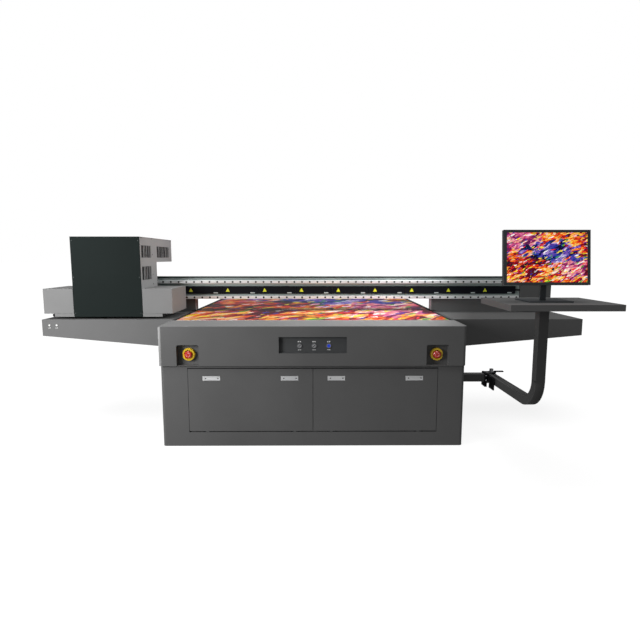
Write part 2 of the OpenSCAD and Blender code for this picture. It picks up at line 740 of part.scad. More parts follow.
module monitor_shell() color([0.22, 0.23, 0.24]) tilted() {
    difference() {
        slab([mon_x - mon_w / 2, mon_x + mon_w / 2], [mon_y, mon_y + 28], mon_h);
        screen_block(screen_hw + 1, [mon_y - 1, mon_y + 3], 14);
    }
    for (s = [-1, 1]) {
        slab([neck_x + s * 24 - 3, neck_x + s * 24 + 3], [mon_y + 27, tilt_y], [tilt_z - 12, tilt_z + 12]);
        crosswise(neck_x + s * 24 - 3, neck_x + s * 24 + 3, tilt_y, tilt_z, 12);
    }
    crosswise(neck_x - 27, neck_x + 27, tilt_y, tilt_z, 4);
}

module monitor_screen() color("teal") tilted() screen_block(screen_hw, [mon_y + 1, mon_y + 3], 15);

frame_long_tubes();
frame_posts();
levelling_feet();
cabinet_front();
cabinet_panels();
front_apron();
bed_border();
vacuum_bed();
printed_board();
side_rails();
vacuum_blower();
electrical_box();
coolant_unit();
ink_bottles();
power_inlet();
control_panel();
button_bezels();
estop_guards();
door_hinges();
arm_bracket();
left_door();
right_door();
latch_1();
latch_2();
latch_3();
latch_4();
button_1();
button_2();
button_3();
left_estop();
right_estop();
beam();
beam_rails();
magnet_track();
gantry_sides();
side_runners();
left_wing();
right_wing();
beam_end_boxes();
cap_station();
cap_tray();
wing_button_1();
wing_button_2();
saddle_plate();
beam_runners();
lift_motors();
carriage_back_plate();
head_base_plate();
print_heads();
lamp_housings();
uv_lamps();
carriage_front_cover();
carriage_side_covers();
carriage_top_cover();
bent_arm();
clamp_lever();
tray();
monitor_stand();
monitor_shell();
monitor_screen();
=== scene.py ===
# %% [markdown]
# # Dressing a flatbed UV printer
# The machine is a steel cabinet with a vacuum bed on top. A gantry carries a print carriage over the
# bed, and a bent arm on the right holds a tray with a monitor. The exact shapes come from the packed
# model, so this lesson adds what a drawing leaves out: paint, metal, the printed picture, screws,
# rail bolts, labels and seals. Everything is in metres, with the front of the machine towards -Y.

import math

import bmesh
import bpy
from mathutils import Matrix, Vector


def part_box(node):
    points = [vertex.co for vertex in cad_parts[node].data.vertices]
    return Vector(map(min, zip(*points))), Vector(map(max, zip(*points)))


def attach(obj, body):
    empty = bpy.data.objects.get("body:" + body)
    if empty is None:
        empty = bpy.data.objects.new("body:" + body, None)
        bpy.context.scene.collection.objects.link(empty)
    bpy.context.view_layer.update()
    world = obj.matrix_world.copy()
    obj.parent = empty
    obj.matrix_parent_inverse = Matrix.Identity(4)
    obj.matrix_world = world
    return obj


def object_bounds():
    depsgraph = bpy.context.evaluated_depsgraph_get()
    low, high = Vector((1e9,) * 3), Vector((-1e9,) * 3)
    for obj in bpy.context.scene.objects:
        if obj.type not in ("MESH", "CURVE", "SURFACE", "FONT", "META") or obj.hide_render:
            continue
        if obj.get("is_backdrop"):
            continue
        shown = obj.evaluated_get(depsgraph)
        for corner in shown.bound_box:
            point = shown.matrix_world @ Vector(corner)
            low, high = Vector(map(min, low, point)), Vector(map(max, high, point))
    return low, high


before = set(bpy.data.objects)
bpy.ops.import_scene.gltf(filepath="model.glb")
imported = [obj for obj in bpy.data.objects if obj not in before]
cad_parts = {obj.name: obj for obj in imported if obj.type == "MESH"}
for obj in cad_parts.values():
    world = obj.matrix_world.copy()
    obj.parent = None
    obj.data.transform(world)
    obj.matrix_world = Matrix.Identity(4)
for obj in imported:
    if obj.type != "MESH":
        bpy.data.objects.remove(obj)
cad_low, cad_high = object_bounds()
print("CAD box in metres:", [round(v, 3) for v in cad_low], [round(v, 3) for v in cad_high])

# %% [markdown]
# ## Small helpers
# A finish in Blender is a node tree. Writing each tree by hand repeats the same few steps, so three
# helpers do them: one starts a finish with its constant values on the shader's own sockets, one adds
# a node, and one adds fine relief. Constant values stay on the shader because exporters read them
# there.

# %% Helpers that build finishes
def start_finish(name, colour, roughness, metallic=0.0, specular=0.5, coat=0.0):
    finish = bpy.data.materials.new(name)
    finish.use_nodes = True
    shader = finish.node_tree.nodes["Principled BSDF"]
    shader.inputs["Base Color"].default_value = (*colour, 1)
    shader.inputs["Roughness"].default_value = roughness
    shader.inputs["Metallic"].default_value = metallic
    shader.inputs["Specular IOR Level"].default_value = specular
    shader.inputs["Coat Weight"].default_value = coat
    return finish, shader


def add(finish, kind, **settings):
    made = finish.node_tree.nodes.new("ShaderNode" + kind)
    for key, value in settings.items():
        if key in made.inputs:
            made.inputs[key].default_value = value
        else:
            setattr(made, key, value)
    return made


def link(finish, source, target):
    finish.node_tree.links.new(source, target)


def place(finish, stretch=(1, 1, 1), turn=(0, 0, 0)):
    """Object coordinates in metres, stretched and turned, for a pattern that is fixed to the part."""
    where = add(finish, "TexCoord")
    mapped = add(finish, "Mapping", Scale=stretch, Rotation=turn)
    link(finish, where.outputs["Object"], mapped.inputs["Vector"])
    return mapped.outputs["Vector"]


def noise(finish, where, scale, detail=2.0, roughness=0.5):
    made = add(finish, "TexNoise", Scale=scale, Detail=detail, Roughness=roughness)
    link(finish, where, made.inputs["Vector"])
    return made.outputs["Fac"]


def ramp(finish, value, stops):
    made = add(finish, "ValToRGB")
    made.color_ramp.elements[0].position = stops[0][0]
    made.color_ramp.elements[0].color = (*stops[0][1], 1)
    made.color_ramp.elements[1].position = stops[-1][0]
    made.color_ramp.elements[1].color = (*stops[-1][1], 1)
    for position, colour in stops[1:-1]:
        made.color_ramp.elements.new(position).color = (*colour, 1)
    link(finish, value, made.inputs["Fac"])
    return made.outputs["Color"]


def spread(finish, value, low, high):
    """Maps the useful middle of a noise to the range from low to high."""
    made = add(finish, "MapRange")
    made.inputs["From Min"].default_value = 0.3
    made.inputs["From Max"].default_value = 0.7
    made.inputs["To Min"].default_value = low
    made.inputs["To Max"].default_value = high
    link(finish, value, made.inputs["Value"])
    return made.outputs["Result"]


def relief(finish, shader, height, strength, distance):
    made = add(finish, "Bump", Strength=strength, Distance=distance)
    link(finish, height, made.inputs["Height"])
    link(finish, made.outputs["Normal"], shader.inputs["Normal"])


def shade(colour, factor):
    return tuple(min(1.0, c * factor) for c in colour)


def blended(finish, factor, first, second, mode="MIX"):
    """A Mix node for colours; first and second are outputs or plain colours."""
    made = add(finish, "Mix", data_type="RGBA", blend_type=mode)
    for socket, value in zip((made.inputs[0], made.inputs[6], made.inputs[7]), (factor, first, second)):
        if hasattr(value, "links"):
            link(finish, value, socket)
        else:
            socket.default_value = value if isinstance(value, float) else (*value, 1)
    return made.outputs[2]


print("finish helpers ready")

# %% [markdown]
# ## Powder coat
# Almost every panel is sheet steel with a fine-texture powder coat. It is matt, slightly pebbled, and
# never quite even: large soft clouds where the powder lay thicker, and a grain of well under a
# millimetre. Two noises make the clouds and the grain, and the grain drives a bump.

# %% Powder coat
CLOUD_SCALE = 2.3
GRAIN_SCALE = 900.0


def powder_coat(name, colour, roughness=0.55, specular=0.35, depth=0.00025):
    finish, shader = start_finish(name, colour, roughness, specular=specular)
    where = place(finish)
    clouds = noise(finish, where, CLOUD_SCALE, detail=3.0)
    grain = noise(finish, where, GRAIN_SCALE, detail=2.0)
    tone = ramp(finish, clouds, [(0.3, shade(colour, 0.93)), (0.7, shade(colour, 1.07))])
    specks = ramp(finish, grain, [(0.35, (0.86, 0.86, 0.86)), (0.65, (1.0, 1.0, 1.0))])
    link(finish, blended(finish, 1.0, tone, specks, "MULTIPLY"), shader.inputs["Base Color"])
    link(finish, spread(finish, grain, roughness - 0.06, roughness + 0.08), shader.inputs["Roughness"])
    relief(finish, shader, grain, 0.25, depth)
    return finish


cabinet_coat = powder_coat("cabinet powder coat", (0.130, 0.130, 0.130), roughness=0.46, specular=0.5)
ledge_coat = powder_coat("ledge powder coat", (0.210, 0.210, 0.210))
gantry_coat = powder_coat("gantry powder coat", (0.105, 0.107, 0.107))
# The left wing's coat is lighter and the right wing's darker; part of that difference is painted light from
# the left and painted shade on the right.
left_wing_lit_coat = powder_coat("left wing coat with painted light", (0.155, 0.155, 0.155))
right_wing_shaded_coat = powder_coat("right wing coat with painted shade", (0.112, 0.112, 0.112))
carriage_coat = powder_coat("carriage grey powder coat", (0.235, 0.235, 0.235))
side_cover_coat = powder_coat("side cover powder coat", (0.37, 0.37, 0.37))
cover_coat = powder_coat("front cover lacquer", (0.011, 0.017, 0.016), roughness=0.6, specular=0.08)
tray_coat = powder_coat("tray powder coat", (0.125, 0.125, 0.125))
bent_arm_coat = powder_coat("bent arm powder coat", (0.078, 0.078, 0.078))
# The side borders' coat is partly their own dark paint and partly painted shade.
side_border_shade_coat = powder_coat("side border dark coat with painted shade", (0.045, 0.045, 0.046))
arm_coat = powder_coat("arm powder coat", (0.090, 0.090, 0.090))
frame_coat = powder_coat("welded frame paint", (0.11, 0.11, 0.12), roughness=0.45)
# A pale coat: on the apron's left corner it is a painted highlight, and on the risers' inner faces it is
# partly a trim and partly a painted highlight.
pale_trim_and_highlight_coat = powder_coat("pale trim and painted highlight coat", (0.42, 0.42, 0.42))
panel_coat = powder_coat("control panel paint", (0.075, 0.078, 0.08), roughness=0.5)
box_coat = powder_coat("electrical box enamel", (0.62, 0.62, 0.60), roughness=0.4)
coolant_coat = powder_coat("coolant unit enamel", (0.12, 0.24, 0.36), roughness=0.4)
black_coat = powder_coat("black lacquer", (0.010, 0.010, 0.011), roughness=0.4, specular=0.15)
magnet_coat = powder_coat("magnet cover lacquer", (0.006, 0.007, 0.010), roughness=0.5, specular=0.08)
print("powder coats:", len(bpy.data.materials))

# %% [markdown]
# ## Metals
# The rails are ground steel, the beam and the bed are machined aluminium, and small fittings are zinc
# plated or chromed. A tool leaves fine parallel marks, so a noise is stretched along the tool's path.
# The stretch direction is a parameter, because the beam was milled along X and the side rails along Y.

# %% Brushed and machined metal
MARKS_PER_METRE = 420.0


def machined(name, colour, along, roughness=0.32, metallic=1.0, contrast=0.16, depth=0.0001):
    finish, shader = start_finish(name, colour, roughness, metallic=metallic)
    stretch = [1.0, 1.0, 1.0]
    stretch["XYZ".index(along)] = 0.012
    marks = noise(finish, place(finish, stretch), MARKS_PER_METRE, detail=3.0)
    stains = noise(finish, place(finish), 3.1, detail=4.0)
    streaks = ramp(finish, marks, [(0.3, shade(colour, 1 - contrast)), (0.7, shade(colour, 1 + contrast))])
    clouds = ramp(finish, stains, [(0.3, (0.84, 0.85, 0.87)), (0.7, (1.0, 1.0, 1.0))])
    link(finish, blended(finish, 1.0, streaks, clouds, "MULTIPLY"), shader.inputs["Base Color"])
    link(finish, spread(finish, marks, roughness - 0.08, roughness + 0.1), shader.inputs["Roughness"])
    relief(finish, shader, marks, 0.2, depth)
    return finish


beam_metal = machined("beam, grey-green anodised", (0.32, 0.38, 0.365), "X", roughness=0.5, metallic=0.35)
rail_metal = machined("rails, ground steel", (0.80, 0.87, 0.86), "X", roughness=0.34, metallic=0.3,
                      contrast=0.28)
side_rail_metal = machined("side rails, ground steel", (0.5, 0.52, 0.53), "Y", roughness=0.3)
bed_metal = machined("bed aluminium", (0.74, 0.75, 0.76), "X", roughness=0.4)
zinc = machined("zinc plate", (0.6, 0.61, 0.62), "Z", roughness=0.38)
latch_metal = machined("latch aluminium", (0.86, 0.86, 0.86), "X", roughness=0.42, metallic=0.3)
bright_metal = machined("chrome", (0.85, 0.85, 0.86), "Z", roughness=0.15, contrast=0.05)
button_metal = machined("turned button steel", (0.78, 0.78, 0.79), "Y", roughness=0.25, metallic=0.8)
dark_steel = machined("black oxide steel", (0.03, 0.032, 0.034), "X", roughness=0.4, metallic=0.6)
print("metals:", [m.name for m in bpy.data.materials if "metal" in m.name or "steel" in m.name])

# %% [markdown]
# ## Plastics, rubber and glass
# Moulded parts carry a soft spark-eroded texture, which is a Voronoi bump at half a millimetre. The
# emergency stops and the guards are glossy, so they get a clear coat instead of the texture.

# %% Moulded plastics and rubber
def moulded(name, colour, roughness=0.5, specular=0.4, pebble=0.00015):
    finish, shader = start_finish(name, colour, roughness, specular=specular)
    where = place(finish)
    cells = add(finish, "TexVoronoi", Scale=1600.0)
    link(finish, where, cells.inputs["Vector"])
    wear = noise(finish, where, 14.0, detail=4.0)
    tone = ramp(finish, wear, [(0.3, shade(colour, 0.9)), (0.7, shade(colour, 1.08))])
    link(finish, tone, shader.inputs["Base Color"])
    link(finish, spread(finish, wear, roughness - 0.07, roughness + 0.07), shader.inputs["Roughness"])
    relief(finish, shader, cells.outputs["Distance"], 0.3, pebble)
    return finish


def glossy(name, colour, roughness=0.22, glow=None):
    finish, shader = start_finish(name, colour, roughness, specular=0.5, coat=0.6)
    smears = noise(finish, place(finish), 60.0, detail=5.0)
    tone = ramp(finish, smears, [(0.3, shade(colour, 0.92)), (0.7, shade(colour, 1.05))])
    link(finish, tone, shader.inputs["Base Color"])
    link(finish, spread(finish, smears, roughness - 0.05, roughness + 0.1), shader.inputs["Roughness"])
    if glow:
        shader.inputs["Emission Color"].default_value = (*glow[0], 1)
        shader.inputs["Emission Strength"].default_value = glow[1]
    return finish


worn_steel = moulded("worn screw steel", (0.075, 0.085, 0.085))
monitor_plastic = moulded("monitor plastic", (0.042, 0.047, 0.052))
head_plastic = moulded("print head plastic", (0.03, 0.03, 0.035))
ink_plastic = moulded("ink bottle plastic", (0.03, 0.03, 0.034), roughness=0.35)
pipe_plastic = moulded("vacuum pipe plastic", (0.24, 0.25, 0.27))
rubber = moulded("rubber", (0.014, 0.014, 0.015), roughness=0.7, specular=0.2, pebble=0.0003)
guard_yellow = glossy("guard yellow", (0.90, 0.60, 0.03))
warning_yellow = glossy("warning label yellow", (0.60, 0.66, 0.025), roughness=0.4)
clip_plastic = glossy("pale clip plastic", (0.36, 0.42, 0.42), roughness=0.4)
stop_red = glossy("stop red", (0.62, 0.035, 0.025))
button_white = glossy("white button", (0.86, 0.86, 0.84))
button_blue = glossy("lit blue button", (0.02, 0.05, 0.50), glow=((0.01, 0.05, 0.6), 0.35))
label_white = glossy("printed label white", (0.80, 0.80, 0.80), roughness=0.45)
ring_pink = glossy("stop button ring mark", (0.85, 0.42, 0.40), roughness=0.35)
print("finishes so far:", len(bpy.data.materials))

# %% [markdown]
# ## The printed picture
# The board on the bed and the monitor show the same test print, a bright abstract. It is made from
# layers of stretched noise, the way a painter lays one wet stroke over another: warm strokes first,
# then a cool band through the middle, then pale, green and dark flecks. Both surfaces call the same
# function with coordinates that run from 0 to 1 across and up the picture.

# %% Abstract test print
PICTURE_SHAPE = 1.64    # width over height of the picture
BRUSH_TILT = 0.40       # radians up to the right
WARM = [(0.24, (0.06, 0.00, 0.01)), (0.34, (0.45, 0.00, 0.01)), (0.43, (0.72, 0.03, 0.00)),
        (0.52, (0.80, 0.16, 0.01)), (0.62, (0.82, 0.42, 0.01)), (0.72, (0.85, 0.72, 0.30)),
        (0.80, (0.62, 0.10, 0.28))]
COOL = [(0.24, (0.00, 0.00, 0.02)), (0.36, (0.00, 0.01, 0.14)), (0.47, (0.01, 0.05, 0.34)),
        (0.56, (0.08, 0.02, 0.26)), (0.66, (0.20, 0.07, 0.42)), (0.78, (0.62, 0.58, 0.78))]
PINK = [(0.24, (0.12, 0.01, 0.08)), (0.38, (0.50, 0.03, 0.14)), (0.50, (0.64, 0.16, 0.34)),
        (0.61, (0.80, 0.38, 0.14)), (0.75, (0.84, 0.78, 0.82))]
DEEP_RED = [(0.30, (0.01, 0.00, 0.01)), (0.43, (0.22, 0.00, 0.01)), (0.56, (0.56, 0.01, 0.01)),
            (0.70, (0.80, 0.14, 0.01))]
FLECKS = [(0.0, (0.86, 0.84, 0.80)), (0.15, (0.85, 0.66, 0.03)), (0.34, (0.06, 0.30, 0.03)),
          (0.50, (0.02, 0.04, 0.35)), (0.64, (0.01, 0.01, 0.02)), (0.80, (0.75, 0.01, 0.02)),
          (0.93, (0.90, 0.45, 0.65))]
TONE_SHIFT = -0.400     # brings the mixed tone to the middle of the palettes
TONE_CONTRAST = 1.65


def picture_colour(finish, low, high, up):
    """Colour of the test print between two corners; up names the axis that runs up the picture."""
    where = add(finish, "TexCoord")
    axes = add(finish, "SeparateXYZ")
    link(finish, where.outputs["Object"], axes.inputs["Vector"])
    flat = add(finish, "CombineXYZ")
    for axis, socket, size in (("X", "X", PICTURE_SHAPE), (up, "Y", 1.0)):
        scaled = add(finish, "MapRange", clamp=False)
        index = "XYZ".index(axis)
        scaled.inputs["From Min"].default_value = low[index]
        scaled.inputs["From Max"].default_value = high[index]
        scaled.inputs["To Max"].default_value = size
        link(finish, axes.outputs[axis], scaled.inputs["Value"])
        link(finish, scaled.outputs["Result"], flat.inputs[socket])
    page = flat.outputs["Vector"]

    swirl = add(finish, "TexNoise", Scale=2.6, Detail=2.0)
    link(finish, page, swirl.inputs["Vector"])
    centred = add(finish, "VectorMath", operation="SUBTRACT")
    centred.inputs[1].default_value = (0.5, 0.5, 0.5)
    link(finish, swirl.outputs["Color"], centred.inputs[0])
    bent = add(finish, "VectorMath", operation="MULTIPLY_ADD")
    bent.inputs[1].default_value = (0.16, 0.16, 0.0)
    link(finish, centred.outputs["Vector"], bent.inputs[0])
    link(finish, page, bent.inputs[2])

    def along_strokes(shift, length):
        """Page coordinates turned to the brush's direction and squeezed along it."""
        turned = add(finish, "Mapping", vector_type="TEXTURE", Location=(shift, -shift, 0),
                     Rotation=(0, 0, BRUSH_TILT), Scale=(length, 1, 1))
        link(finish, bent.outputs["Vector"], turned.inputs["Vector"])
        return turned.outputs["Vector"]

    def dabs(scale, shift, length=3.0):
        """Brush dabs: two random numbers for each long cell."""
        cells = add(finish, "TexVoronoi", Scale=scale)
        link(finish, along_strokes(shift, length), cells.inputs["Vector"])
        random = add(finish, "SeparateColor")
        link(finish, cells.outputs["Color"], random.inputs["Color"])
        return random.outputs["Red"], random.outputs["Green"]

    def sum_of(first, share, second):
        """first times share, plus second."""
        made = add(finish, "Math", operation="MULTIPLY_ADD")
        made.inputs[1].default_value = share
        link(finish, first, made.inputs[0])
        link(finish, second, made.inputs[2])
        return made.outputs["Value"]

    def patch(centre, size, edge):
        """1 inside an oval, 0 outside, with an edge broken into dabs."""
        offset = add(finish, "Mapping")
        offset.inputs["Location"].default_value = (-centre[0] / size[0], -centre[1] / size[1], 0)
        offset.inputs["Scale"].default_value = (1 / size[0], 1 / size[1], 0)
        link(finish, bent.outputs["Vector"], offset.inputs["Vector"])
        length = add(finish, "VectorMath", operation="LENGTH")
        link(finish, offset.outputs["Vector"], length.inputs[0])
        return cut(sum_of(edge, 0.9, length.outputs["Value"]), 1.50, 1.40)

    def cut(value, low_cut, high_cut):
        made = add(finish, "MapRange")
        made.inputs["From Min"].default_value = low_cut
        made.inputs["From Max"].default_value = high_cut
        link(finish, value, made.inputs["Value"])
        return made.outputs["Result"]

    flow = noise(finish, along_strokes(1.7, 2.2), 3.6, detail=6.0, roughness=0.62)
    wide, wide_edge = dabs(22.0, 0.0)
    fine, fine_edge = dabs(75.0, 3.1, length=4.0)
    streak = noise(finish, along_strokes(9.0, 7.0), 120.0, detail=2.0)
    mixed = sum_of(wide, 0.30, sum_of(fine, 0.16, sum_of(streak, 0.25, flow)))
    lowered = add(finish, "Math", operation="ADD")
    lowered.inputs[1].default_value = TONE_SHIFT
    link(finish, mixed, lowered.inputs[0])
    stretched = add(finish, "MapRange", clamp=False)
    stretched.inputs["To Min"].default_value = 0.5 - 0.5 * TONE_CONTRAST
    stretched.inputs["To Max"].default_value = 0.5 + 0.5 * TONE_CONTRAST
    link(finish, lowered.outputs["Value"], stretched.inputs["Value"])
    tone = stretched.outputs["Result"]
    colour = ramp(finish, tone, WARM)
    pink = ramp(finish, tone, PINK)
    colour = blended(finish, patch((0.28, 0.86), (0.42, 0.24), wide_edge), colour, pink)
    colour = blended(finish, patch((1.36, 0.30), (0.34, 0.20), wide_edge), colour, pink)
    cool = ramp(finish, tone, COOL)
    colour = blended(finish, patch((0.88, 0.60), (0.62, 0.21), wide_edge), colour, cool)
    dark_red = patch((0.26, 0.40), (0.34, 0.09), wide_edge)
    colour = blended(finish, dark_red, colour, ramp(finish, tone, DEEP_RED))
    fleck, fleck_pick = dabs(55.0, 12.4, length=3.5)
    flecks = ramp(finish, fleck, FLECKS)
    flecks_node = flecks.node
    flecks_node.color_ramp.interpolation = "CONSTANT"
    return blended(finish, cut(sum_of(fine_edge, 0.3, fleck_pick), 0.98, 1.0), colour, flecks)


board_low, board_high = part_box("printed_board")
board_print, board_shader = start_finish("printed board", (0.9, 0.9, 0.9), 0.35, specular=0.35, coat=0.15)
facing = add(board_print, "NewGeometry")
facing_axes = add(board_print, "SeparateXYZ")
link(board_print, facing.outputs["Normal"], facing_axes.inputs["Vector"])
ink = picture_colour(board_print, board_low, board_high, "Y")
link(board_print, blended(board_print, facing_axes.outputs["Z"], (0.86, 0.86, 0.85), ink),
     board_shader.inputs["Base Color"])
ink_layer = noise(board_print, place(board_print), 700.0)
relief(board_print, board_shader, ink_layer, 0.15, 0.0002)

screen_low, screen_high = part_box("monitor_screen")
screen_glass, screen_shader = start_finish("lit screen", (0.2, 0.2, 0.2), 0.25, specular=0.4)
lit = picture_colour(screen_glass, screen_low, screen_high, "Z")
link(screen_glass, lit, screen_shader.inputs["Base Color"])
link(screen_glass, lit, screen_shader.inputs["Emission Color"])
screen_shader.inputs["Emission Strength"].default_value = 0.75
print("picture on the board is", round(board_high.x - board_low.x, 3), "m wide")

# %% [markdown]
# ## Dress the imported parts
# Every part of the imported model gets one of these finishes. Sheet metal and machined parts also get a
# tiny rounded edge: real edges are never perfectly sharp, and the small bevel catches a line of light.
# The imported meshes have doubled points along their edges, so a Weld comes before the Bevel.

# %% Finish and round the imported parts
EDGE_ANGLE = math.radians(35)


def dress(finish, *names, edge=0.0):
    for name in names:
        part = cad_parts[name]
        part.data.materials.clear()
        part.data.materials.append(finish)
        if edge:
            weld = part.modifiers.new("join doubled points", "WELD")
            weld.merge_threshold = 0.00002
            bevel = part.modifiers.new("rounded edges", "BEVEL")
            bevel.width = edge
            bevel.segments = 2
            bevel.limit_method = "ANGLE"
            bevel.angle_limit = EDGE_ANGLE
            bevel.harden_normals = True


dress(frame_coat, "frame_long_tubes", "frame_posts")
dress(zinc, "levelling_feet")
dress(dark_steel, "door_hinges")
dress(cabinet_coat, "cabinet_panels", "cabinet_front", "front_apron", "left_door", "right_door")
dress(ledge_coat, "bed_border", edge=0.0012)
dress(bed_metal, "vacuum_bed", "cap_station", "saddle_plate", "carriage_back_plate")
dress(board_print, "printed_board")
dress(side_rail_metal, "side_rails", "side_runners")
dress(pipe_plastic, "vacuum_blower")
dress(box_coat, "electrical_box")
dress(coolant_coat, "coolant_unit")
dress(ink_plastic, "ink_bottles", "power_inlet")
dress(panel_coat, "control_panel")
dress(bright_metal, "button_bezels", "clamp_lever")
dress(guard_yellow, "estop_guards")
dress(arm_coat, "arm_bracket")
dress(latch_metal, *[f"latch_{i}" for i in range(1, 5)])
dress(button_metal, "button_1", "button_2")
dress(button_blue, "button_3")
dress(stop_red, "left_estop", "right_estop")
dress(beam_metal, "beam", edge=0.002)
dress(rail_metal, "beam_rails", edge=0.0015)
dress(rail_metal, "beam_runners")
dress(magnet_coat, "magnet_track")
dress(black_coat, "lift_motors", "uv_lamps")
dress(gantry_coat, "gantry_sides", "beam_end_boxes", edge=0.0015)
dress(left_wing_lit_coat, "left_wing")
dress(right_wing_shaded_coat, "right_wing")
dress(rubber, "cap_tray")
dress(button_white, "wing_button_1", "wing_button_2")
dress(carriage_coat, "head_base_plate", "lamp_housings", "carriage_top_cover", edge=0.0015)
dress(side_cover_coat, "carriage_side_covers")
dress(head_plastic, "print_heads")
dress(cover_coat, "carriage_front_cover", edge=0.0015)
dress(bent_arm_coat, "bent_arm", edge=0.002)
dress(tray_coat, "tray", edge=0.0015)
dress(monitor_plastic, "monitor_stand", "monitor_shell", edge=0.0015)
dress(screen_glass, "monitor_screen")
undressed = [n for n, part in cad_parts.items() if not part.data.materials]
print("parts without a finish:", undressed)

# %% [markdown]
# ## Making new pieces
# Small parts are built with bmesh: a list of simple forms goes into one mesh, which then rides on the
# body that it is fixed to. Three forms are enough for fasteners, labels and strips: a block with
# bevelled edges, a turned form with any profile, and a flat plate cut to an outline.

# %% Helpers that build pieces
def piece(name, form, finish, body):
    made = bpy.data.objects.new(name, bpy.data.meshes.new(name))
    bpy.context.scene.collection.objects.link(made)
    form.to_mesh(made.data)
    form.free()
    made.data.materials.append(finish)
    for face in made.data.polygons:
        face.use_smooth = True
    made.data.set_sharp_from_angle(angle=EDGE_ANGLE)
    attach(made, body)
    return made


def block(form, low, high, rounding=0.0):
    made = bmesh.ops.create_cube(form, size=1.0)["verts"]
    low, high = Vector(low), Vector(high)
    for vert in made:
        vert.co = Vector(((low[i] + high[i]) / 2 + vert.co[i] * (high[i] - low[i]) for i in range(3)))
    if rounding:
        edges = {edge for vert in made for edge in vert.link_edges}
        bmesh.ops.bevel(form, geom=list(edges), offset=rounding, segments=2, profile=0.5, affect="EDGES")


def turned(form, centre, axis, profile, sides=24):
    """Revolves a profile of (distance along the axis, radius) points; both ends are closed."""
    towards = Vector(axis).to_track_quat("Z", "Y").to_matrix().to_4x4()
    stand = Matrix.Translation(Vector(centre)) @ towards
    rings = []
    for along, radius in profile:
        turn = [2 * math.pi * i / sides for i in range(sides)]
        rings.append([form.verts.new(stand @ Vector((radius * math.cos(a), radius * math.sin(a), along)))
                      for a in turn])
    for lower, upper in zip(rings, rings[1:]):
        for i in range(sides):
            form.faces.new((lower[i], lower[(i + 1) % sides], upper[(i + 1) % sides], upper[i]))
    form.faces.new(rings[0][::-1])
    form.faces.new(rings[-1])


def plate(form, centre, across, up, outline, thickness):
    """A flat plate: outline points are (across, up) offsets, and it rises towards across x up."""
    across, up = Vector(across), Vector(up)
    out = across.cross(up) * thickness
    base = [Vector(centre) + across * u + up * v for u, v in outline]
    lower = [form.verts.new(p) for p in base]
    upper = [form.verts.new(p + out) for p in base]
    count = len(base)
    form.faces.new(lower[::-1])
    form.faces.new(upper)
    for i in range(count):
        form.faces.new((lower[i], lower[(i + 1) % count], upper[(i + 1) % count], upper[i]))


def cap_screw(form, centre, axis, radius, height):
    """A socket-head screw: a rounded rim around a sunk round socket."""
    rim = radius * 0.86
    turned(form, centre, axis, [(0, radius), (height * 0.75, radius), (height, rim), (height, radius * 0.55),
                                (height * 0.35, radius * 0.5)], sides=18)


def rounded(width, height, radius, steps=4):
    """Outline of a rectangle with rounded corners."""
    points = []
    for k, (cu, cv) in enumerate(((1, 1), (-1, 1), (-1, -1), (1, -1))):
        for i in range(steps + 1):
            angle = math.pi / 2 * (k + i / steps)
            points.append((cu * (width / 2 - radius) + radius * math.cos(angle),
                           cv * (height / 2 - radius) + radius * math.sin(angle)))
    return points


RIGHT = (1, 0, 0)
UP = (0, 0, 1)
FRONT = (0, -1, 0)
BACK = (0, 1, 0)
print("piece helpers ready")

# %% [markdown]
# ## Rail bolts
# Each linear rail is held by a socket-head bolt about every 65 mm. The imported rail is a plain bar, so
# each bolt is a low black screw head on its front face. One loop places them on both rails.

# %% Bolts along both beam rails
BOLT_PITCH = 0.0654
BOLT_RADIUS = 0.0080
BOLT_RISE = 0.0008
RAIL_END = 0.015        # from the rail's end to its first bolt
rail_low, rail_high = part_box("beam_rails")
rail_height = 0.025
bolt_count = int((rail_high.x - rail_low.x - 2 * RAIL_END) / BOLT_PITCH) + 1
first_bolt = (rail_low.x + rail_high.x) / 2 - (bolt_count - 1) * BOLT_PITCH / 2
bolts = bmesh.new()
for rail_z in (rail_low.z + rail_height / 2, rail_high.z - rail_height / 2):
    for i in range(bolt_count):
        bolt_x = first_bolt + i * BOLT_PITCH
        cap_screw(bolts, (bolt_x, rail_low.y, rail_z), FRONT, BOLT_RADIUS, BOLT_RISE)
piece("rail_bolts", bolts, black_coat, "gantry")
print("bolts per rail:", bolt_count)

# %% [markdown]
# ## Magnet track
# The linear motor's magnets lie under black covers. Each cover has a yellow warning triangle near its
# left end, a pale clip on its lower edge, and four small screws. A sticker is a thin plate with its
# corners cut round, and it carries no sign.

# %% Warning triangles, clips and screws on the magnet covers
track_low, track_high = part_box("magnet_track")
TRACK_PLATES = 11
track_pitch = (track_high.x - track_low.x) / TRACK_PLATES
track_mid = (track_low.z + track_high.z) / 2


def triangle(half_width, height, corner):
    """Outline of an upright triangle with cut corners, centred on its foot's middle."""
    slope = half_width / height
    return [(half_width - corner, 0), (half_width - corner * 0.5, corner),
            (corner * slope, height - corner * 0.6), (-corner * slope, height - corner * 0.6),
            (-half_width + corner * 0.5, corner), (-half_width + corner, 0)]


